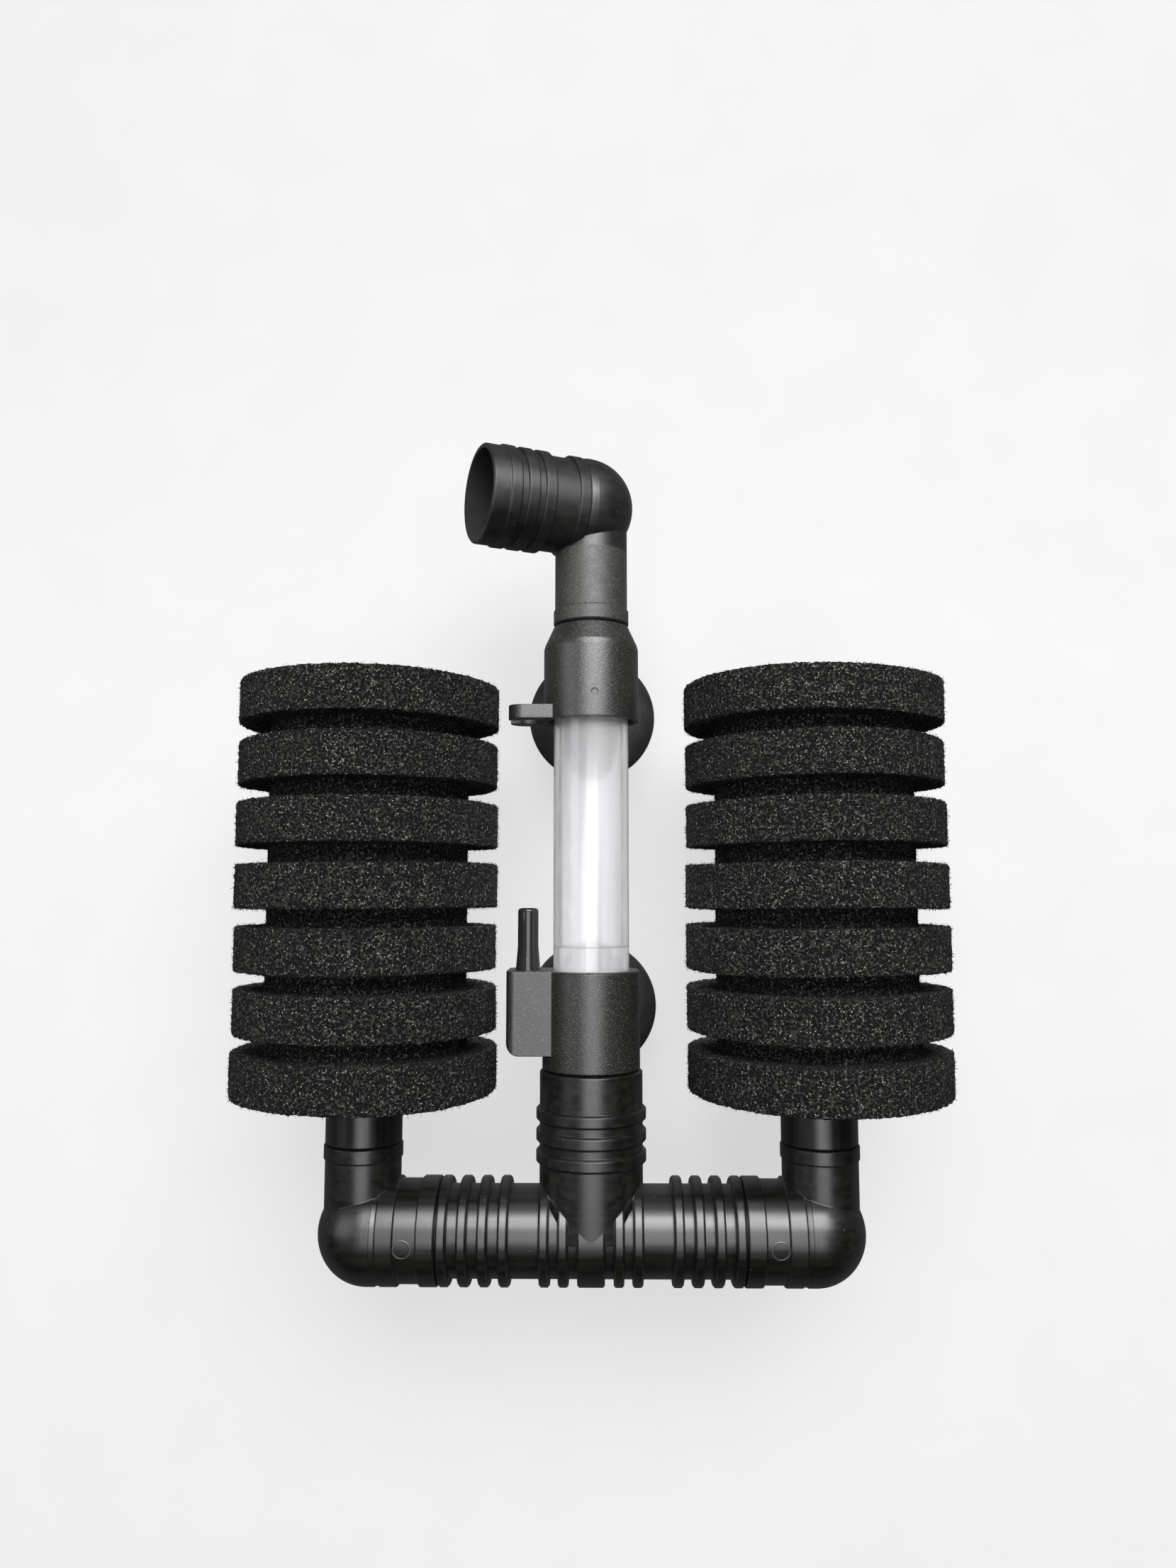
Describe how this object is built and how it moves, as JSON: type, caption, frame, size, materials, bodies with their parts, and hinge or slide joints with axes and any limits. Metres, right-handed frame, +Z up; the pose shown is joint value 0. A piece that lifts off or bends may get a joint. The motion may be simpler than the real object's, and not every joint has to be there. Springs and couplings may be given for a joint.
{
  "type": "twin sponge filter",
  "caption": "Air-driven aquarium sponge filter: clear riser with swivelling ribbed spout, tee base, folding foam cartridges on slotted strainers and glass suction cups.",
  "frame": {"origin": "centre of the lower suction cup's rim, on the plane of the glass", "axes": "+Y out of the back of the filter into the glass, +Z up the column towards the spout, +X to the right as seen from the front"},
  "size_m": [0.1786, 0.066, 0.2093],
  "materials": {
    "clear_acrylic": "clear extruded acrylic with a faint violet-grey edge",
    "grained_black": "black moulded plastic with a fine spark-eroded grain",
    "polished_black": "smooth glossy black plastic",
    "satin_black": "satin black moulded plastic with fine flow streaks",
    "black_rubber": "matte black soft rubber",
    "charcoal_foam": "open-cell charcoal-black foam"
  },
  "bodies": {
    "column": {"riser_tube": "clear_acrylic", "upper_connector": "grained_black", "injector_body": "grained_black", "air_nipple": "polished_black", "air_diffuser": "polished_black", "upper_suction_cup": "black_rubber", "lower_suction_cup": "black_rubber"},
    "manifold": {"tee_manifold": "satin_black"},
    "outlet": {"outlet_elbow": "satin_black"},
    "left_arm": {"left_elbow": "satin_black", "left_strainer": "satin_black"},
    "right_arm": {"right_elbow": "satin_black", "right_strainer": "satin_black"},
    "left_foam": {"left_sponge": "charcoal_foam"},
    "right_foam": {"right_sponge": "charcoal_foam"}
  },
  "joints": [
    {"name": "outlet_swivel", "type": "hinge", "parent": "column", "child": "outlet", "pos_m": [0, -0.0335, 0.1], "axis": [0, 0, 1], "continuous": true},
    {"name": "manifold_swivel", "type": "hinge", "parent": "column", "child": "manifold", "pos_m": [0, -0.0335, -0.03], "axis": [0, 0, 1], "range_deg": [-20, 20]},
    {"name": "left_arm_fold", "type": "hinge", "parent": "manifold", "child": "left_arm", "pos_m": [-0.044, -0.0335, -0.05136], "axis": [1, 0, 0], "range_deg": [0, 90]},
    {"name": "right_arm_fold", "type": "hinge", "parent": "manifold", "child": "right_arm", "pos_m": [0.044, -0.0335, -0.05136], "axis": [1, 0, 0], "range_deg": [0, 90]},
    {"name": "left_sponge_slide", "type": "slide", "parent": "left_arm", "child": "left_foam", "axis": [0, 0, 1], "range_m": [0, 0.03]},
    {"name": "right_sponge_slide", "type": "slide", "parent": "right_arm", "child": "right_foam", "axis": [0, 0, 1], "range_m": [0, 0.03]}
  ]
}
